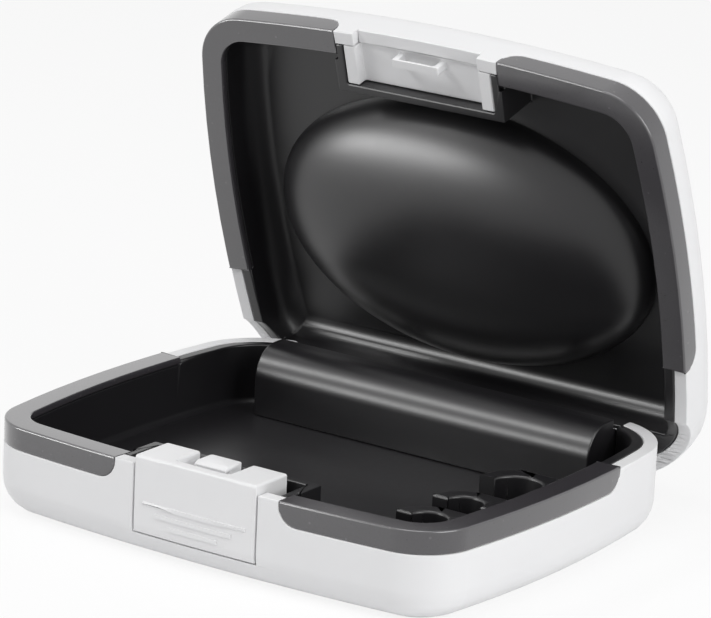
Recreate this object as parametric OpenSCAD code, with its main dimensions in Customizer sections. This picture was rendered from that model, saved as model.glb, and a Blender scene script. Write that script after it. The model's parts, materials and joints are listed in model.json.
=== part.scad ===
// Hearing aid case: a rounded two-part hard case, shown standing open.
// Millimetres. X to the right, Y to the back, Z up, origin at the middle of the underside.
// Lid pieces are drawn closed and then turned open about the hinge.

/* [Case] */
// Width of the case
case_w = 96; // [88:1:108]
// Depth of the case, front to back
case_d = 77.2; // [72:0.2:88]
// Height of the base, up to the parting plane
base_h = 16.2; // [15.8:0.1:19]
// Height of the lid above the parting plane
lid_h = 12.3; // [11.8:0.1:15]
// How far the front edge bows out at its middle
front_bow = 3; // [1.5:0.1:4.5]
// How far each side bows out at its middle
side_bow = 3.6; // [1.5:0.1:4.5]
// Plan radius of the two front corners
corner_r = 10.3; // [9.6:0.1:12]
// Plan radius of the two back corners
back_r = 14.5; // [13:0.5:16]
// Radius of the lower edge of the base
base_edge_r = 5.9; // [4:0.1:6.4]
// Radius of the upper edge of the lid
lid_edge_r = 6.5; // [4:0.1:7.5]
// How far the lid stands open, in degrees
open_angle = 73; // [0:1:83]

/* [Walls] */
// Wall of the white shells
shell_wall = 2.4; // [2:0.1:2.8]
// Floor of the base shell
shell_floor = 2.6; // [2.2:0.1:3]
// Skin of the lid shell
lid_skin = 2.2; // [1.8:0.1:2.6]
// Wall of the black liners
liner_wall = 1.95; // [1.6:0.05:2.2]
// Floor of the tray
tray_floor = 2.2; // [1.6:0.1:2.6]
// Skin of the lid liner
lining_skin = 1.6; // [1.2:0.1:1.9]
// Fillet between the tray's floor and walls
tray_fillet = 1.2; // [0.6:0.1:2]
// Fillet between the lid's floor and walls
lid_fillet = 4; // [2:0.1:4.4]
// Assembly gap between fixed pieces
fit_gap = 0.1; // [0.05:0.01:0.15]

/* [Bumper] */
// Height of the soft band on the outside of each half
bumper_h = 4; // [3.4:0.1:4.6]
// Thickness of the band over the rim
bumper_cap = 1.3; // [1:0.1:1.6]
// Thickness of the band on the outside
bumper_skirt = 1.4; // [1:0.1:1.8]
// Where the band ends on each side, behind the middle of the case
bumper_reach = 14.8; // [10:0.1:17]
// Radius of the lower corner at each end of the band
bumper_end_r = 3.3; // [2:0.1:3.3]
// How far each band stops short of the parting plane
seal_gap = 0.15; // [0.1:0.05:0.25]
// How far the bare rims lie behind the parting plane
rim_drop = 0.6; // [0.4:0.1:0.9]

/* [Hinge] */
// Hinge axis to the back face
hinge_inset = 6.7; // [6.5:0.1:6.9]
// Hinge axis below the parting plane
hinge_drop = 7.1; // [6.9:0.1:7.3]
// Radius of the rolled back edge behind the hinge
roll_r = 6.95; // [6.95:0.05:7.1]
// Front wall of the hinge cover before the hinge axis
cover_front = 6.6; // [6.5:0.1:7]
// How far the hinge cover rises above the parting plane
cover_rise = 1; // [0.6:0.1:1.2]
// Radius of the upper front edge of the hinge cover
cover_round = 5.6; // [4:0.1:6]
// Flat top of the hinge cover behind the hinge axis
cover_back = 1.4; // [1:0.1:1.5]
// Radius of the hinge cover behind its flat top
cover_r = 6.5; // [6.2:0.1:6.5]
// How far the hinge cover reaches behind the hinge axis
cover_reach = 3.5; // [3:0.1:3.7]
// Wall of the hinge cover
cover_wall = 1.7; // [1.3:0.1:1.9]
// Length of the hinge cover
cover_l = 69.5; // [64:0.5:70]
// Radius of the back wall beside the cover, about the hinge axis
wing_r = 8.9; // [8.6:0.1:9]
// Room between that wall and the lid
wing_gap = 1.3; // [0.4:0.1:1.4]
// Diameter of the hinge pins
pin_d = 3; // [2.4:0.1:3.4]
// Distance between the two hinge arms
arm_spacing = 42; // [38:1:44]
// Width of each hinge arm
arm_w = 6; // [4:0.5:6.5]
// Outside radius of the arm's eye
arm_eye_r = 3.2; // [2.8:0.1:3.5]
// Thickness of the arm's plate inside the lid
arm_plate_t = 1.2; // [0.8:0.1:1.3]
// Height of the arm's plate inside the lid
arm_plate_h = 3.4; // [2.4:0.1:4]
// Lower face of a closed arm, in degrees above the level
arm_from = 42; // [41:1:45]
// Upper face of a closed arm, in degrees above the level
arm_to = 60.5; // [58:0.5:62]
// Thickness of the ear on each side of an arm
boss_w = 3; // [2:0.1:3.6]
// Radius of those ears
boss_r = 3.2; // [2.8:0.1:3.6]
// Thickness of the friction washers
washer_t = 0.5; // [0.3:0.1:0.8]
// Running clearance on pins, each side
run_gap = 0.05; // [0.02:0.01:0.1]
// Side clearance of moving pieces
side_gap = 0.3; // [0.2:0.05:0.4]

/* [Latch] */
// Width of the press panel and its tongue
latch_w = 24.4; // [23:0.1:25]
// Half width of the bare white front between the ends of the bands
latch_front = 16.5; // [15.8:0.1:18]
// Thickness of the press panel
panel_t = 2.2; // [1.8:0.1:2.3]
// Lower edge of the press panel
panel_low = 4.5; // [4.3:0.1:5]
// How far the tongue rises above the parting plane
tongue_rise = 1.4; // [1.2:0.1:1.5]
// Depth of the tongue, front to back
tongue_l = 8.8; // [8.4:0.1:9.2]
// Level of the tongue's deck below the parting plane
deck_drop = 0.7; // [0.5:0.1:0.9]
// Thickness of the tongue's deck
deck_t = 1.6; // [1.2:0.1:2]
// Width of the hook in the middle of the tongue
hook_w = 6.2; // [5.4:0.1:6.4]
// Width of the slot on each side of the hook
hook_slot = 2.2; // [2:0.1:2.6]
// Front face of the hook's neck behind the case front
hook_inset = 5.15; // [5:0.05:5.3]
// Length of the hook's beak
beak_l = 1.05; // [0.9:0.05:1.1]
// Thickness of the hook's beak
beak_t = 0.8; // [0.6:0.05:0.9]
// Height of the latch pivot
pivot_z = 5.7; // [5.4:0.1:6]
// Latch pivot behind the case front
pivot_inset = 2.6; // [2.4:0.1:2.8]
// Diameter of the latch pin
latch_pin_d = 2; // [1.6:0.1:2.2]
// Radius of the latch barrel
barrel_r = 1.9; // [1.7:0.1:2]
// Thickness of the ears that hold the latch pin
ear_w = 1.8; // [1.4:0.1:2]
// Half length of the lowest grip ridge on the panel
ridge_half = 4.9; // [4:0.1:5.5]
// How much longer each higher ridge is, at each end
ridge_step = 2.7; // [2:0.1:3]
// Distance between the grip ridges
ridge_pitch = 1.6; // [1.4:0.1:1.8]
// Thickness of each grip ridge
ridge_t = 0.7; // [0.4:0.1:0.9]
// How far the grip ridges stand out
ridge_out = 0.2; // [0.1:0.05:0.3]
// Inside half width of the latch bay
bay_half = 15; // [14.8:0.1:15.4]
// Side walls of the latch bay
bay_wall = 1.9; // [1.5:0.1:2.2]
// Back wall of the latch bay
bay_back = 1.5; // [1.2:0.1:1.8]
// Inside depth of the latch bay behind the case front
bay_l = 10.2; // [10:0.1:10.6]
// Thickness of the latch spring strip
spring_t = 0.5; // [0.3:0.05:0.6]
// Width of the latch spring strip
spring_w = 6; // [5:0.5:8]

/* [Catch] */
// Thickness of the catch plate in the lid
catch_t = 1.6; // [1.2:0.1:2]
// Room between the tongue and the catch plate
catch_room = 0.9; // [0.8:0.1:1.2]
// Length of the strike bar
bar_l = 9.4; // [9:0.1:9.8]
// Front to back size of the strike bar
bar_w = 1.5; // [1.3:0.1:1.6]
// Thickness of the strike bar
bar_t = 0.6; // [0.5:0.05:0.7]
// Thickness of the legs at the ends of the strike bar
bar_leg = 1.1; // [0.8:0.1:1.2]
// Play between the strike bar and the hook
bar_gap = 0.25; // [0.2:0.01:0.3]

/* [Cell holder] */
// Diameter of the rear cell well
well_rear_d = 8.6; // [8.1:0.1:9]
// Diameter of the two front cell wells
well_front_d = 6.4; // [6:0.1:6.8]
// Thickness of the holder's arms
holder_arm_t = 2.9; // [2.2:0.1:3.1]
// Centre of the rear well, from the middle of the case
well_rear_y = 0.6; // [-1:0.1:2]
// Rear well to the middle well
well_pitch_rear = 13.8; // [13.4:0.1:14.4]
// Middle well to the front well
well_pitch_front = 10.4; // [10.2:0.1:10.8]
// Centre of the rear well from the right-hand side of the case
well_inset = 11.6; // [11.4:0.1:12.4]
// Top of the holder below the parting plane
holder_drop = 2.2; // [1.8:0.1:3]
// Thickness of the platform under the cells
holder_platform = 3.7; // [2.4:0.1:4]

/* [Dome] */
// Length of the oval dome in the lid
dome_l = 76; // [70:0.2:78]
// Width of the oval dome in the lid
dome_w = 50; // [46:0.2:53]
// Height of the dome
dome_h = 11; // [8:0.1:12]
// Centre of the dome behind the middle of the case
dome_y = 1.4; // [0:0.1:3]

/* [Lid shelf] */
// Front face of the shelf over the hinge cover, before the hinge axis
shelf_front = 1.9; // [1.5:0.1:2.6]
// Room between the shelf and the hinge cover
shelf_gap = 1.3; // [1:0.1:1.6]
// Fillet between the lid's floor and the shelf
shelf_fillet = 3.2; // [1.5:0.1:4]

/* [Hidden] */
$fa = 1;
$fs = 0.35;
big = 2*case_w;
white = [0.90, 0.90, 0.91];
black = [0.08, 0.08, 0.09];
grey = [0.38, 0.36, 0.39];
steel = [0.72, 0.73, 0.75];

// Half sizes, and the places that follow from them
half_w = case_w/2;
half_d = case_d/2;
liner_in = shell_wall + fit_gap;
rim_w = liner_in + liner_wall;
tray_z = shell_floor + tray_floor;
lid_top = base_h + lid_h;
hinge_y = half_d - hinge_inset;
hinge_z = base_h - hinge_drop;
base_rim = base_h - rim_drop;
lid_rim = base_h + rim_drop;
base_top = base_h - seal_gap;
lid_depth = lid_h - seal_gap;

// The bowed sides and the corners are arcs that run into each other
front_r = (half_w*half_w + front_bow*front_bow)/(2*front_bow);
side_r = (half_d*half_d + side_bow*side_bow)/(2*side_bow);
front_c = [0, front_r - half_d];
side_c = [half_w - side_r, 0];
front_corner = meeting(front_c, front_r - corner_r, side_c, side_r - corner_r);
back_corner = [side_c.x + sqrt(pow(side_r - back_r, 2) - pow(half_d - back_r, 2)), half_d - back_r];
front_turn = heading(front_c, front_corner);
side_start = heading(side_c, front_corner);
side_end = heading(side_c, back_corner);

// Latch levels
tongue_top = base_h + tongue_rise;
tongue_y = -half_d + tongue_l;
deck_z = base_h - deck_drop;
hook_y = -half_d + hook_inset;
beak_y = hook_y - beak_l;
beak_low = tongue_top - beak_t;
bar_top = beak_low - bar_gap;
bar_y = hook_y - bar_gap;
catch_z = tongue_top + catch_room;
pivot_y = -half_d + pivot_inset;
bay_y = -half_d + bay_l;
latch_half = latch_w/2;
window_x = latch_half + side_gap;
ear_in = window_x + 2*fit_gap;
ear_out = ear_in + ear_w;

// Hinge stations along X, on the right-hand side
arm_in = arm_spacing/2 - arm_w/2;
arm_out = arm_spacing/2 + arm_w/2;
washer_x = arm_out + 2*run_gap;
boss_out = washer_x + washer_t;
pin_start = arm_in - side_gap - boss_w;
pin_end = boss_out + boss_w;
cover_x = cover_l/2 + fit_gap;

// The cover ends at this angle above the level, and is open behind this depth at the arms
cover_stop = 50;
cover_slot = 2.2;

// Room for the swing of each arm, how far its slot stops above the floor and its back inside the back face
arm_room = [arm_in - side_gap, arm_out + side_gap];
slot_rise = 0.4;
arm_back = 0.5;

// How far shapes of one piece run into each other, and cutters past what they cut
bite = 0.1;
past = 1;

// How far the cells' platform reaches past the wells, at its left end and at its back
platform_left = 0.8;
platform_back = 1;

// Lowest grip ridge above the rounded lower edge, and the number of ridges
ridge_low = 0.2;
ridge_count = 3;

function front_at(x) = front_c.y - sqrt(front_r*front_r - x*x);
function heading(a, b) = atan2(b.y - a.y, b.x - a.x);
function meeting(a, ra, b, rb) =
    let (l = norm(b - a), u = (b - a)/l, s = (l*l + ra*ra - rb*rb)/(2*l))
    a + u*s + [-u.y, u.x]*sqrt(ra*ra - s*s);

// Stations on the plan outline: a point, and the way out from it
function station(c, r, a) = [c.x + r*cos(a), c.y + r*sin(a), cos(a), sin(a)];
function stations(c, r, from, to, n, first = 0) =
    [for (i = [first:n]) station(c, r, from + (to - from)*i/n)];
right_half = concat(
    stations(front_c, front_r, -90, front_turn, 6),
    stations(front_corner, corner_r, front_turn, side_start, 14, 1),
    stations(side_c, side_r, side_start, side_end, 9, 1),
    stations(back_corner, back_r, side_end, 90, 16, 1));
left_half = [for (i = [len(right_half) - 1:-1:1]) let (p = right_half[i]) [-p[0], p[1], -p[2], p[3]]];
outline = concat(right_half, left_half);

// A closed body through outlines that are set in by d at height z, from [d, z] pairs
module through(rings) {
    n = len(outline);
    m = len(rings);
    polyhedron(
        points = [for (r = rings) for (p = outline) [p[0] - r[0]*p[2], p[1] - r[0]*p[3], r[1]]],
        faces = concat(
            [[for (i = [0:n - 1]) i]],
            [for (k = [0:m - 2]) for (i = [0:n - 1]) [k*n + i, k*n + n + i, k*n + n + (i + 1)%n]],
            [for (k = [0:m - 2]) for (i = [0:n - 1]) [k*n + i, k*n + n + (i + 1)%n, k*n + (i + 1)%n]],
            [[for (i = [n - 1:-1:0]) (m - 1)*n + i]]));
}
function quarter(n, first = 0) = [for (i = [first:n]) 90*i/n];

// A half shell with its rounded edge at the bottom, and the liner inside it
module shell_half(r, skin, h) through(concat(
    [for (a = quarter(6)) [r - r*sin(a), r - r*cos(a)]],
    [[0, h], [shell_wall, h], [shell_wall, skin]]));
module liner_half(z, skin, fillet, h) through(concat(
    [[liner_in, z], [liner_in, h], [rim_w, h]],
    [for (a = quarter(5)) [rim_w + fillet - fillet*cos(a), z + skin + fillet - fillet*sin(a)]]));

module box(x, y, z) translate([x[0], y[0], z[0]]) cube([x[1] - x[0], y[1] - y[0], z[1] - z[0]]);
module both_sides() for (m = [0, 1]) mirror([m, 0, 0]) children();

// A shape drawn in Y and Z, run along X
module along_x(x) translate([x[0], 0, 0]) rotate([90, 0, 90]) linear_extrude(x[1] - x[0]) children();
module at_hinge() translate([hinge_y, hinge_z]) children();
module at_pivot() translate([pivot_y, pivot_z]) children();

// A section with the outer face at 0 and the inside at negative x, run along the front
module along_front() translate(front_c) rotate(-180 - front_turn)
    rotate_extrude(angle = 180 + 2*front_turn, $fn = 1440) translate([front_r, 0]) children();

// Path of the right-hand band, each station with the lift of the band's lower edge
band_start = -90 + asin(latch_front/front_r);
band_end = asin(bumper_reach/side_r);
turn_f = 180*bumper_end_r/(PI*front_r);
turn_s = 180*bumper_end_r/(PI*side_r);
function lifted(list, lift) = [for (p = list) concat(p, [lift])];
band_path = concat(
    [for (a = quarter(7)) concat(station(front_c, front_r, band_start + turn_f*(1 - cos(a))),
        [bumper_end_r*(1 - sin(a))])],
    lifted(stations(front_c, front_r, band_start + turn_f, front_turn, 4, 1), 0),
    lifted(stations(front_corner, corner_r, front_turn, side_start, 14, 1), 0),
    lifted(stations(side_c, side_r, side_start, band_end - turn_s, 6, 1), 0),
    [for (i = [6:-1:0]) let (a = 90*i/7) concat(station(side_c, side_r, band_end - turn_s*(1 - cos(a))),
        [bumper_end_r*(1 - sin(a))])]);

// The band of a half whose rim is at height h; grow makes the cutter for its seat
module band(h, grow = 0) {
    low = h - bumper_h;
    under = h - bumper_cap;
    inner = rim_w + grow;
    n = len(band_path);
    polyhedron(
        points = [for (p = band_path)
            for (q = [[-grow, low + p[4]], [-grow, h + grow], [inner, h + grow],
                      [inner, under], [bumper_skirt, under], [bumper_skirt, low + p[4]]])
                [p[0] - q[0]*p[2], p[1] - q[0]*p[3], q[1]]],
        faces = concat(
            [[5, 4, 3, 2, 1, 0]],
            [for (j = [0:n - 2]) for (a = [0:5]) [j*6 + a, j*6 + (a + 1)%6, j*6 + 6 + (a + 1)%6]],
            [for (j = [0:n - 2]) for (a = [0:5]) [j*6 + a, j*6 + 6 + (a + 1)%6, j*6 + 6 + a]],
            [[for (a = [0:5]) (n - 1)*6 + a]]));
}

// Upright walls round the latch bay, and the room inside them
module bay_walls(z) difference() {
    box([-1, 1]*(bay_half + bay_wall), [-half_d + shell_wall + liner_wall/2, bay_y + bay_back], z);
    bay_room();
}
module bay_room() box([-bay_half, bay_half], [-big, bay_y], [-big, big]);

// Frames of the lid: upside down from its top, and turned open
module from_lid_top() translate([0, 0, lid_top]) mirror([0, 0, 1]) children();
module opened() translate([0, hinge_y, hinge_z]) rotate([-open_angle, 0, 0])
    translate([0, -hinge_y, -hinge_z]) children();

// Base

module hinge_bosses() both_sides() for (x = [pin_start, boss_out]) along_x([x, x + boss_w]) at_hinge() {
    circle(boss_r);
    translate([-boss_r, shell_floor/2 - hinge_z]) square([2*boss_r, hinge_z - shell_floor/2]);
}
module latch_ears() both_sides() box([ear_in, ear_out],
    [-half_d + shell_wall*0.8, pivot_y + barrel_r], [shell_floor - 2*bite, pivot_z + barrel_r]);
module base_shell() color(white) difference() {
    union() {
        difference() {
            shell_half(base_edge_r, shell_floor, base_top);
            both_sides() band(base_top, past);
            // Lower rim behind the bands
            box([-big, big], [bumper_reach - past, big], [base_rim, big]);
            // Back edge rolled round the hinge axis
            along_x([-cover_x, cover_x]) at_hinge() difference() {
                square(big);
                circle(roll_r);
            }
            along_x([-big, big]) at_hinge() difference() {
                square(big);
                circle(wing_r);
            }
            // Slots for the swing of the arms
            both_sides() box(arm_room, [hinge_y, big], [shell_floor + slot_rise, big]);
            // Window of the press panel
            box([-window_x, window_x], [-big, pivot_y], [panel_low - side_gap, big]);
            along_x([-window_x, window_x]) at_pivot() circle(barrel_r + side_gap);
        }
        hinge_bosses();
        latch_ears();
    }
    both_sides() along_x([pin_start - past, pin_end + past]) at_hinge() circle(d = pin_d);
    along_x([-ear_out, ear_out]) at_pivot() circle(d = latch_pin_d);
}
module base_liner() color(black) difference() {
    union() {
        liner_half(shell_floor, tray_floor, tray_fillet, base_top);
        bay_walls([shell_floor + bite, base_top]);
    }
    both_sides() band(base_top, past);
    box([-big, big], [bumper_reach - past, big], [base_rim, big]);
    // Room under and behind the hinge cover
    box([-cover_x, cover_x], [hinge_y, big], [-big, big]);
    box([-1, 1]*(cover_l/2 - cover_wall), [hinge_y - cover_front + cover_wall, big], [-big, big]);
    bay_room();
}
module base_bumper_right() color(grey) band(base_top);
module base_bumper_left() color(grey) mirror([1, 0, 0]) band(base_top);

// Section of the cover: upright front wall, rounded upper edge, flat top
module cover_block(less) intersection() {
    low = tray_z - hinge_z;
    top = base_h + cover_rise - hinge_z - less;
    front = less - cover_front;
    r = cover_round - less;
    union() {
        translate([front, low]) square([big, top - r - low]);
        translate([front + r, low]) square([big, top - low]);
        translate([front + r, top - r]) circle(r);
    }
    translate([-big, -big]) square([big + cover_back - less, 2*big]);
}
module cover_outline() intersection() {
    union() {
        cover_block(0);
        circle(cover_r);
    }
    translate([-big, tray_z - hinge_z]) square([big + cover_reach, big]);
}
module hinge_cover() color(black) difference() {
    union() {
        along_x([-cover_l/2, cover_l/2]) at_hinge() difference() {
            cover_outline();
            cover_block(cover_wall);
            circle(cover_r - cover_wall);
            polygon([[0, 0], [-past, -big], [big, -big], [big, 0], big*[cos(cover_stop), sin(cover_stop)]]);
        }
        both_sides() along_x([cover_l/2 - cover_wall, cover_l/2]) at_hinge() cover_outline();
    }
    both_sides() box(arm_room, [hinge_y + cover_slot, big], [0, big]);
}

module hinge_pin_right() color(steel) along_x([pin_start, pin_end]) at_hinge() circle(d = pin_d);
module hinge_pin_left() color(steel) along_x([-pin_end, -pin_start]) at_hinge() circle(d = pin_d);
module washer(x) color(steel) along_x([x, x + washer_t]) at_hinge() difference() {
    circle(arm_eye_r);
    circle(pin_d/2 + run_gap);
}
module friction_washer_right() washer(washer_x);
module friction_washer_left() washer(-washer_x - washer_t);

// Latch: one moulding of panel, barrel, deck, two side blocks and the hook

module panel_section() intersection() {
    translate([-panel_t, panel_low]) square([panel_t, tongue_top - panel_low]);
    union() {
        translate([-panel_t, base_edge_r]) square([panel_t, big]);
        translate([-base_edge_r, base_edge_r]) circle(base_edge_r);
    }
}
module ridge(z, half_l) intersection() {
    along_front() translate([-panel_t/2, z]) square([panel_t/2 + ridge_out, ridge_t]);
    box([-half_l, half_l], [-big, 0], [0, big]);
}
module latch_button() color(white) difference() {
    union() {
        intersection() {
            along_front() panel_section();
            box([-latch_half, latch_half], [-big, 0], [0, big]);
        }
        for (i = [0:ridge_count - 1])
            ridge(base_edge_r + ridge_low + i*ridge_pitch, ridge_half + i*ridge_step);
        box([-latch_half, latch_half], [-half_d + panel_t/2, tongue_y], [deck_z - deck_t, deck_z]);
        both_sides() box([hook_w/2 + hook_slot, latch_half], [-half_d + panel_t/2, tongue_y],
            [deck_z - deck_t/2, tongue_top]);
        along_x([-hook_w/2, hook_w/2]) polygon([
            [hook_y, deck_z - deck_t/2], [hook_y, beak_low], [beak_y, beak_low],
            [beak_y, beak_low + beak_t/3], [hook_y, tongue_top],
            [tongue_y, tongue_top], [tongue_y, deck_z - deck_t/2]]);
        along_x([-latch_half, latch_half]) at_pivot() circle(barrel_r);
    }
    along_x([-big, big]/4) at_pivot() circle(latch_pin_d/2 + run_gap);
}
module latch_pin() color(steel) along_x([-ear_out, ear_out]) at_pivot() circle(d = latch_pin_d);

// A bent strip between the panel and the back wall of the bay
module latch_spring() color(steel) along_x([-spring_w/2, spring_w/2]) {
    front = -half_d + panel_t + fit_gap;
    back = bay_y - fit_gap;
    r = (back - front)/2;
    foot = pivot_z + barrel_r + side_gap;
    difference() {
        translate([front + r, foot]) circle(r);
        translate([front + r, foot]) circle(r - spring_t);
        translate([-big, foot - big]) square([2*big, big]);
    }
    translate([back - spring_t, shell_floor]) square([spring_t, foot - shell_floor + bite]);
}

// Cell holder: three hooked arms that run to the right-hand wall of the tray

function wall_x(y) = side_c.x + sqrt(pow(side_r - rim_w, 2) - y*y) - fit_gap;
module holder_arm(x, y, d) {
    difference() {
        translate([x, y]) circle(d/2 + holder_arm_t);
        translate([x, y]) circle(d/2);
        translate([x - big, y - big]) square([2*big, big]);
        translate([wall_x(y), y - big]) square(2*big);
    }
    translate([x, y + d/2]) square([wall_x(y - d/2) - x, holder_arm_t]);
}
module cell_holder() color(black) {
    rear_x = half_w - well_inset;
    front_x = rear_x - (well_rear_d - well_front_d)/2;
    middle_y = well_rear_y - well_pitch_rear;
    front_y = middle_y - well_pitch_front;
    left = front_x - well_front_d/2 + platform_left;
    low_y = front_y - well_front_d/2;
    translate([0, 0, tray_z]) linear_extrude(base_h - holder_drop - tray_z) {
        holder_arm(rear_x, well_rear_y, well_rear_d);
        holder_arm(front_x, middle_y, well_front_d);
        holder_arm(front_x, front_y, well_front_d);
    }
    box([left, wall_x(low_y) - tray_fillet], [low_y, well_rear_y + well_rear_d/2 + platform_back],
        [tray_z, tray_z + holder_platform]);
}

// Lid

module wing_relief() both_sides() along_x([cover_l/2 - side_gap, half_w]) at_hinge()
    circle(wing_r + wing_gap);
module lid_shell() color(white) opened() difference() {
    from_lid_top() shell_half(lid_edge_r, lid_skin, lid_depth);
    from_lid_top() both_sides() band(lid_depth, past);
    box([-big, big], [bumper_reach - past, big], [0, lid_rim]);
    box([-window_x, window_x], [-big, -half_d/2], [0, tongue_top + side_gap]);
    wing_relief();
}

// A lens-shaped body whose cap over the lid's floor is the dome
module dome_body(less, low) {
    across = (dome_w*dome_w/4 + dome_h*dome_h)/(2*dome_h);
    along = (dome_l*dome_l/4 + dome_h*dome_h)/(2*dome_h);
    intersection() {
        translate([0, dome_y, lid_skin + lining_skin + dome_h - across]) rotate([0, 90, 0]) rotate_extrude()
            intersection() {
                translate([across - along, 0]) circle(along - less, $fn = 1080);
                translate([0, -half_w]) square([across, case_w]);
            }
        box([-half_w, half_w], [-half_d, half_d], [low, lid_h]);
    }
}

// The shelf along the back of the lid, with a fillet up to the lid's floor
module lid_shelf() intersection() {
    floor = lid_skin + lining_skin;
    low = lid_skin + lining_skin/2;
    y = hinge_y - shelf_front;
    along_x([-half_w, half_w]) {
        translate([y, low]) square([half_d - y, lid_h - cover_rise - shelf_gap - low]);
        difference() {
            translate([y - shelf_fillet, low]) square([shelf_fillet + bite, floor + shelf_fillet - low]);
            translate([y - shelf_fillet, floor + shelf_fillet]) circle(shelf_fillet);
        }
    }
    through([[liner_in + liner_wall/2, 0], [liner_in + liner_wall/2, lid_h]]);
}
module lid_liner() color(black) opened() difference() {
    from_lid_top() difference() {
        union() {
            liner_half(lid_skin, lining_skin, lid_fillet, lid_depth);
            lid_shelf();
            bay_walls([lid_skin + bite, lid_depth]);
            dome_body(0, lid_skin + lining_skin/2);
        }
        dome_body(lining_skin, 0);
        bay_room();
        both_sides() band(lid_depth, past);
    }
    box([-big, big], [bumper_reach - past, big], [0, lid_rim]);
    both_sides() box([arm_in - fit_gap, arm_out + fit_gap],
        [half_d - liner_in - arm_plate_t - fit_gap, big], [0, lid_rim + arm_plate_h + fit_gap]);
    wing_relief();
}
module lid_bumper_right() color(grey) opened() from_lid_top() band(lid_depth);
module lid_bumper_left() color(grey) opened() from_lid_top() mirror([1, 0, 0]) band(lid_depth);

module catch_plate() color(white) opened() {
    reach = [front_at(bay_half) + shell_wall + fit_gap, bay_y - fit_gap];
    box([-1, 1]*(bay_half - fit_gap), reach, [catch_z, catch_z + catch_t]);
    both_sides() box([window_x, bay_half - fit_gap], reach, [base_h + 2*seal_gap, catch_z + bite]);
    box([-1, 1]*bar_l/2, [bar_y - bar_w, bar_y], [bar_top - bar_t, bar_top]);
    both_sides() box([bar_l/2 - bar_leg, bar_l/2], [bar_y - bar_w, bar_y],
        [bar_top - bar_t, catch_z + bite]);
}

module arm_section() difference() {
    out = hinge_inset - arm_back;
    plate_out = hinge_inset - liner_in;
    plate_in = plate_out - arm_plate_t;
    rim = lid_rim - hinge_z;
    union() {
        circle(arm_eye_r);
        polygon([[0, 0], [out, out*tan(arm_from)], [out, rim], [plate_out, rim],
                 [plate_out, rim + arm_plate_h], [plate_in, rim + arm_plate_h],
                 [plate_in, plate_in*tan(arm_to)]]);
    }
    circle(pin_d/2 + run_gap);
}
module hinge_arm_right() color(black) opened() along_x([arm_in, arm_out]) at_hinge() arm_section();
module hinge_arm_left() color(black) opened() along_x([-arm_out, -arm_in]) at_hinge() arm_section();

base_shell();
base_liner();
base_bumper_left();
base_bumper_right();
hinge_cover();
hinge_pin_left();
hinge_pin_right();
friction_washer_left();
friction_washer_right();
latch_button();
latch_pin();
latch_spring();
cell_holder();
lid_shell();
lid_liner();
lid_bumper_left();
lid_bumper_right();
catch_plate();
hinge_arm_left();
hinge_arm_right();
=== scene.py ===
"""Looks of a hearing aid case: white shells, black lining, soft grey bands, on a white table."""

import json
from math import cos, radians, sin

import bmesh
import bpy
from mathutils import Matrix, Vector


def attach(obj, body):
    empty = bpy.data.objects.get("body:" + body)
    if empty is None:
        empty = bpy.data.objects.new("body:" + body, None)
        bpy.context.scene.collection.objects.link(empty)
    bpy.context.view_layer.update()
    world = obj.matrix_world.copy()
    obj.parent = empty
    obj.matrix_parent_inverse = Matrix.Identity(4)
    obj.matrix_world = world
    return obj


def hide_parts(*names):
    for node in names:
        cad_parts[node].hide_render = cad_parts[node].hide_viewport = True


MM = 0.001
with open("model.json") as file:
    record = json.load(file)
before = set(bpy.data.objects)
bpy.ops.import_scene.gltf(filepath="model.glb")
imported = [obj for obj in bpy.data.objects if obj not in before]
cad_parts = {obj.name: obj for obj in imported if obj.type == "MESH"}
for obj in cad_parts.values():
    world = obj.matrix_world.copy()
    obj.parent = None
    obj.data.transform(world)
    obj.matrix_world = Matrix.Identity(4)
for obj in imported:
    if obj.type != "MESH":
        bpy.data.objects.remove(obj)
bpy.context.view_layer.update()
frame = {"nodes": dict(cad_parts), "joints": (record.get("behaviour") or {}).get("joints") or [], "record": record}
scene = bpy.context.scene
behaviour = frame["record"]["behaviour"]
body_of = {node: body for body, nodes in behaviour["bodies"].items() for node in nodes}

# Camera: viewing angle in degrees, aim and distance in millimetres, focal length in pixels of the picture
PICTURE_W = 711
CAMERA_AZIMUTH, CAMERA_ELEVATION, CAMERA_ROLL = 34.3512, 15.8837, 2.6964
CAMERA_AIM = (2.4094, 1.4311, 36.6843)
CAMERA_DISTANCE = 735.9047
CAMERA_FOCAL = 4428.9124
SENSOR_W = 36


def place_camera():
    azimuth, elevation = radians(CAMERA_AZIMUTH), radians(CAMERA_ELEVATION)
    roll = radians(CAMERA_ROLL)
    back = Vector((sin(azimuth) * cos(elevation), -cos(azimuth) * cos(elevation), sin(elevation)))
    right = Vector((cos(azimuth), sin(azimuth), 0))
    up = back.cross(right)
    side = right * cos(roll) + up * sin(roll)
    top = up * cos(roll) - right * sin(roll)
    data = bpy.data.cameras.new("camera")
    data.sensor_fit = "HORIZONTAL"
    data.sensor_width = SENSOR_W
    data.lens = CAMERA_FOCAL / PICTURE_W * SENSOR_W
    data.clip_start = 0.01
    camera = bpy.data.objects.new("camera", data)
    place = (Vector(CAMERA_AIM) + back * CAMERA_DISTANCE) * MM
    camera.matrix_world = Matrix.Translation(place) @ Matrix((side, top, back)).transposed().to_4x4()
    scene.collection.objects.link(camera)
    scene.camera = camera


place_camera()


# Shader maths as Python expressions

class Socket:
    def __init__(self, finish, link):
        self.finish, self.link = finish, link

    def _math(self, operation, *values):
        return self.finish.node("ShaderNodeMath", {"operation": operation}, dict(enumerate(values)))

    def __add__(self, other):
        return self._math("ADD", self, other)

    def __mul__(self, other):
        return self._math("MULTIPLY", self, other)

    __radd__, __rmul__ = __add__, __mul__


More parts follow.
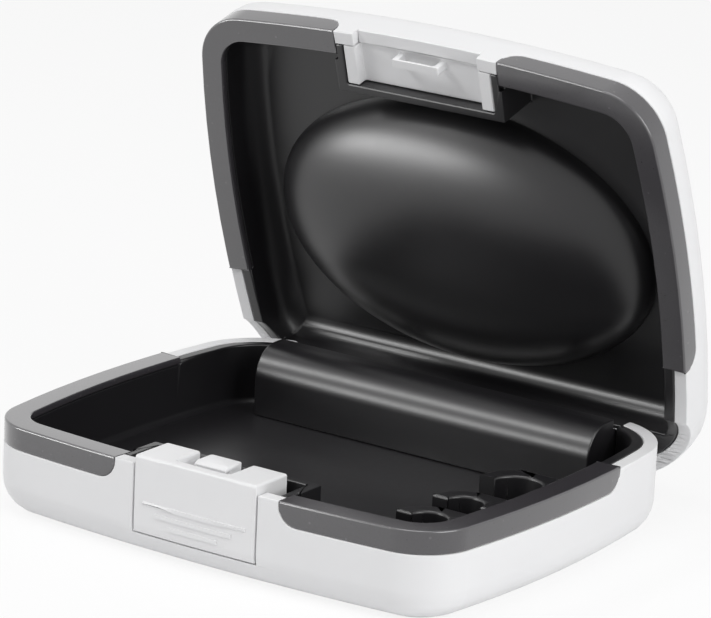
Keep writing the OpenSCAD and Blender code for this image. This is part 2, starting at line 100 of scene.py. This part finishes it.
class Finish:
    """A node material, or the world: node() adds one node with its settings and sockets."""

    def __init__(self, owner):
        self.owner = owner
        owner.use_nodes = True
        self.tree = owner.node_tree
        self.tree.nodes.clear()

    def node(self, kind, settings=None, sockets=None, output=0):
        made = self.tree.nodes.new(kind)
        for key, value in (settings or {}).items():
            setattr(made, key, value)
        for key, value in (sockets or {}).items():
            if isinstance(value, Socket):
                self.tree.links.new(value.link, made.inputs[key])
            else:
                made.inputs[key].default_value = value
        return Socket(self, made.outputs[output] if made.outputs else None)

    def place(self):
        return self.node("ShaderNodeTexCoord", output="Object")

    def noise(self, scale, detail=3.0, roughness=0.5):
        return self.node("ShaderNodeTexNoise", None, {
            "Vector": self.place(), "Scale": scale, "Detail": detail, "Roughness": roughness})

    def grain(self, scale):
        return self.node("ShaderNodeTexVoronoi", {"feature": "SMOOTH_F1"}, {
            "Vector": self.place(), "Scale": scale, "Smoothness": 0.6})

    def speck(self, scale, size):
        """Sparse round specks: 1 inside, 0 outside."""
        far = self.node("ShaderNodeTexVoronoi", {"feature": "F1"}, {"Vector": self.place(), "Scale": scale})
        return self.node("ShaderNodeMapRange", None, {
            "Value": far, "From Min": size, "From Max": size * 0.6, "To Min": 0.0, "To Max": 1.0})

    def blend(self, factor, first, second):
        return self.node("ShaderNodeMix", {"data_type": "RGBA"}, {0: factor, 6: first, 7: second}, output=2)

    def bump(self, height, strength, distance):
        return self.node("ShaderNodeBump", None, {
            "Height": height, "Strength": strength, "Distance": distance})

    def seen(self, *rays):
        """1 for the kinds of ray that are named, 0 for the rest."""
        path = self.node("ShaderNodeLightPath").link.node
        total = Socket(self, path.outputs[rays[0]])
        for ray in rays[1:]:
            other = Socket(self, path.outputs[ray])
            total = self.node("ShaderNodeMath", {"operation": "MAXIMUM"}, {0: total, 1: other})
        return total

    def surface(self, shader, kind="ShaderNodeOutputMaterial"):
        self.node(kind, None, {"Surface": shader})
        return self.owner

    def plastic(self, sockets):
        return self.surface(self.node("ShaderNodeBsdfPrincipled", None, sockets))


def new_finish(name):
    return Finish(bpy.data.materials.new(name))


def white_shell():
    """Satin moulded plastic: an even tone, a fine eroded texture and faint flow marks."""
    f = new_finish("white_shell")
    cloud = f.noise(38.0, 4.0)
    flow = f.noise(210.0, 2.0)
    tone = f.blend(cloud * 0.5 + flow * 0.2, (0.79, 0.79, 0.80, 1), (0.84, 0.84, 0.845, 1))
    texture = f.grain(3600.0) * 0.6 + f.noise(6500.0, 2.0) * 0.4
    return f.plastic({"Base Color": tone, "Roughness": cloud * 0.10 + flow * 0.06 + 0.36,
                      "Normal": f.bump(texture, 0.10, 0.00004), "Specular IOR Level": 0.4})


def black_lining():
    """Smooth black plastic with a satin gloss that a soft light spreads over."""
    f = new_finish("black_lining")
    cloud = f.noise(55.0, 4.0)
    fine = f.noise(900.0, 3.0)
    tone = f.blend(cloud * 0.6 + fine * 0.3, (0.0068, 0.0064, 0.0074, 1), (0.0130, 0.0124, 0.0140, 1))
    texture = f.grain(4200.0) * 0.7 + f.noise(9000.0, 2.0) * 0.3
    return f.plastic({"Base Color": tone, "Roughness": cloud * 0.08 + fine * 0.05 + 0.27,
                      "Normal": f.bump(texture, 0.12, 0.00004), "Specular IOR Level": 0.45,
                      "Coat Weight": 0.2, "Coat Roughness": 0.34})


def soft_band():
    """Grey elastomer with a smooth moulded skin, a fine dusty grain and a few pale specks."""
    f = new_finish("soft_band")
    cloud = f.noise(60.0, 4.0)
    dust = f.noise(2600.0, 3.0, 0.65)
    tone = f.blend(cloud * 0.4 + dust * 0.5, (0.026, 0.024, 0.028, 1), (0.056, 0.052, 0.058, 1))
    speckled = f.blend(f.speck(420.0, 0.11) * 0.3, tone, (0.16, 0.15, 0.16, 1))
    texture = dust * 0.6 + f.grain(3000.0) * 0.4
    return f.plastic({"Base Color": speckled, "Roughness": dust * 0.12 + 0.24,
                      "Normal": f.bump(texture, 0.14, 0.00004), "Specular IOR Level": 0.7,
                      "Coat Weight": 1.0, "Coat Roughness": 0.12})


def turned_steel():
    """Turned steel: fine lines round the axis."""
    f = new_finish("turned_steel")
    stretched = f.node("ShaderNodeMapping", None, {"Vector": f.place(), "Scale": (9000.0, 300.0, 300.0)})
    lines = f.node("ShaderNodeTexNoise", None, {"Vector": stretched, "Scale": 1.0, "Detail": 2.0})
    tone = f.blend(lines, (0.50, 0.50, 0.52, 1), (0.66, 0.66, 0.68, 1))
    return f.plastic({"Base Color": tone, "Metallic": 1.0, "Roughness": lines * 0.16 + 0.24})


WHITE, BLACK, SOFT, STEEL = white_shell(), black_lining(), soft_band(), turned_steel()


# Pieces: each moulding is a merged copy of its solid with its edges eased
MERGE_WITHIN, SLIVER = 2e-6, 1e-6  # metres
FLAT_ANGLE, CORNER_ANGLE, RUN_ON_ANGLE = radians(0.03), radians(32), radians(35)
ROOM_IN_WIDTHS, LENGTH_IN_WIDTHS = 1.5, 3
EASED_STEPS = 3
EVEN_WEIGHT = 60


def finished(shape, name, finish, body):
    """Turns a bmesh into a piece that rides on a body."""
    mesh = bpy.data.meshes.new(name)
    shape.to_mesh(mesh)
    shape.free()
    mesh.materials.clear()
    mesh.materials.append(finish)
    piece = bpy.data.objects.new(name, mesh)
    scene.collection.objects.link(piece)
    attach(piece, body)
    return piece


def room_beside(edge):
    """Depth of the shallower face beside an edge."""
    start, end = (vert.co for vert in edge.verts)
    way = (end - start).normalized()
    return min(max((vert.co - start).cross(way).length for vert in face.verts) for face in edge.link_faces)


def runs_on(edge, end, others):
    """Whether one of the other edges goes on from this end in about the same direction."""
    way = end.co - edge.other_vert(end).co
    return any(other is not edge and other in others
               and way.angle(other.other_vert(end).co - end.co) < RUN_ON_ANGLE for other in end.link_edges)


def eased(node, finish, width):
    """A merged copy of a solid: edges with room on both faces are rounded, narrow ones stay sharp."""
    radius = width * MM
    shape = bmesh.new()
    shape.from_mesh(frame["nodes"][node].data)
    for face in shape.faces:
        face.smooth = True
    bmesh.ops.remove_doubles(shape, verts=shape.verts, dist=MERGE_WITHIN)
    bmesh.ops.dissolve_degenerate(shape, edges=shape.edges, dist=SLIVER)
    bmesh.ops.dissolve_limit(shape, angle_limit=FLAT_ANGLE, verts=shape.verts, edges=shape.edges)
    weight = shape.edges.layers.float.new("bevel_weight_edge")
    corners = [edge for edge in shape.edges if edge.calc_face_angle(0) > CORNER_ANGLE]
    roomy = {edge for edge in corners if room_beside(edge) > ROOM_IN_WIDTHS * radius}
    for edge in corners:
        long = edge.calc_length() > LENGTH_IN_WIDTHS * radius
        edge.smooth = edge in roomy and (long or all(runs_on(edge, end, roomy) for end in edge.verts))
        edge[weight] = float(edge.smooth)
    bmesh.ops.connect_verts_concave(shape, faces=[face for face in shape.faces if len(face.verts) > 4])
    piece = finished(shape, node + "_eased", finish, body_of[node])
    bevel = piece.modifiers.new("eased_edges", "BEVEL")
    bevel.width, bevel.segments, bevel.limit_method = radius, EASED_STEPS, "WEIGHT"
    bevel.profile, bevel.miter_outer, bevel.use_clamp_overlap = 0.5, "MITER_ARC", False
    normals = piece.modifiers.new("even_shading", "WEIGHTED_NORMAL")
    normals.keep_sharp, normals.weight = True, EVEN_WEIGHT
    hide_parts(node)


# Each moulding with the radius of its eased edges in millimetres
MOULDINGS = (
    ("base_shell", WHITE, 0.2), ("lid_shell", WHITE, 0.2), ("latch_button", WHITE, 0.4),
    ("catch_plate", WHITE, 0.3), ("base_liner", BLACK, 0.3), ("lid_liner", BLACK, 0.3),
    ("hinge_cover", BLACK, 0.3), ("cell_holder", BLACK, 0.5),
    ("hinge_arm_left", BLACK, 0.25), ("hinge_arm_right", BLACK, 0.25),
    ("base_bumper_left", SOFT, 0.35), ("base_bumper_right", SOFT, 0.35),
    ("lid_bumper_left", SOFT, 0.35), ("lid_bumper_right", SOFT, 0.35))
METALWORK = ("hinge_pin_left", "hinge_pin_right", "friction_washer_left", "friction_washer_right",
             "latch_pin", "latch_spring")

for node, finish, width in MOULDINGS:
    eased(node, finish, width)


# Dome in the lid: half of an ellipsoid on the lid's floor, drawn closed and turned open with the lid

DOME_L, DOME_W, DOME_H, DOME_Y = 76.3, 50.3, 11.3, 1.4
LID_FLOOR_Z = 24.7
DOME_SUNK = 0.4
DOME_ROUND, DOME_RINGS = 160, 96


def lid_dome():
    hinge = next(joint for joint in frame["joints"] if joint["name"] == "lid_hinge")
    opened = Matrix.Rotation(radians(hinge["range_deg"][0]), 3, "X")
    shape = bmesh.new()
    bmesh.ops.create_uvsphere(shape, u_segments=DOME_ROUND, v_segments=DOME_RINGS, radius=0.5)
    bmesh.ops.scale(shape, vec=Vector((DOME_L, DOME_W, 2 * DOME_H)) * MM, verts=shape.verts)
    cut = bmesh.ops.bisect_plane(shape, geom=shape.verts[:] + shape.edges[:] + shape.faces[:],
                                 plane_co=(0, 0, DOME_SUNK * MM), plane_no=(0, 0, 1), clear_outer=True)
    rim = [item for item in cut["geom_cut"] if isinstance(item, bmesh.types.BMEdge)]
    bmesh.ops.contextual_create(shape, geom=rim)
    bmesh.ops.translate(shape, vec=Vector((0, DOME_Y, LID_FLOOR_Z)) * MM, verts=shape.verts)
    bmesh.ops.rotate(shape, cent=hinge["pos_m"], matrix=opened, verts=shape.verts)
    for face in shape.faces:
        face.smooth = len(face.verts) <= 4
    finished(shape, "lid_dome", BLACK, body_of["lid_liner"])


lid_dome()
for node in METALWORK:
    metal = frame["nodes"][node].data
    metal.materials.clear()
    metal.materials.append(STEEL)


# Table, backdrop and light

TABLE_SIZE = 2.0
TABLE_GLOW = 0.86
ROOM_LIGHT = 0.26


def white_table():
    f = new_finish("white_table")
    paper = f.node("ShaderNodeBsdfDiffuse", None, {"Color": (0.86, 0.86, 0.865, 1)})
    glow = f.node("ShaderNodeEmission", None, {"Color": (1, 1, 1, 1), "Strength": 1.0})
    shown = f.seen("Is Camera Ray", "Is Glossy Ray", "Is Transmission Ray")
    finish = f.surface(f.node("ShaderNodeMixShader", None, {0: shown * TABLE_GLOW, 1: paper, 2: glow}))
    table = bmesh.new()
    bmesh.ops.create_grid(table, x_segments=4, y_segments=4, size=TABLE_SIZE)
    mesh = bpy.data.meshes.new("table")
    table.to_mesh(mesh)
    table.free()
    mesh.materials.append(finish)
    piece = bpy.data.objects.new("table", mesh)
    scene.collection.objects.link(piece)


def white_room():
    world = bpy.data.worlds.new("white_room")
    scene.world = world
    f = Finish(world)
    shown = f.seen("Is Camera Ray", "Is Glossy Ray", "Is Transmission Ray")
    strength = shown * (1 - ROOM_LIGHT) + ROOM_LIGHT
    sky = f.node("ShaderNodeBackground", None, {"Color": (1, 1, 1, 1), "Strength": strength})
    f.surface(sky, "ShaderNodeOutputWorld")


def soft_lamp(name, place, aim, size, power, gloss_only=False):
    """An area lamp in metres and watts. With gloss_only it shows in reflections and lights nothing else."""
    data = bpy.data.lights.new(name, "AREA")
    data.shape, data.size, data.size_y, data.energy = "RECTANGLE", size[0], size[1], power
    lamp = bpy.data.objects.new(name, data)
    lamp.location = Vector(place)
    lamp.rotation_euler = (Vector(aim) - Vector(place)).to_track_quat("-Z", "Y").to_euler()
    lamp.visible_diffuse = not gloss_only
    scene.collection.objects.link(lamp)


white_table()
white_room()
soft_lamp("lamp_left", place=(-0.46, -0.45, 0.58), aim=(0, 0, 0.03), size=(0.20, 0.16), power=2.1)
soft_lamp("lamp_low", place=(-0.56, -0.60, 0.10), aim=(0, 0, 0.05), size=(0.62, 0.18), power=5.6,
          gloss_only=True)
soft_lamp("lamp_right", place=(0.66, -0.10, 0.34), aim=(0, 0, 0.03), size=(0.45, 0.50), power=3.0)
soft_lamp("lamp_top", place=(0.02, -0.16, 0.70), aim=(0, 0, 0.02), size=(0.40, 0.40), power=1.7)
scene.view_settings.view_transform = "Standard"
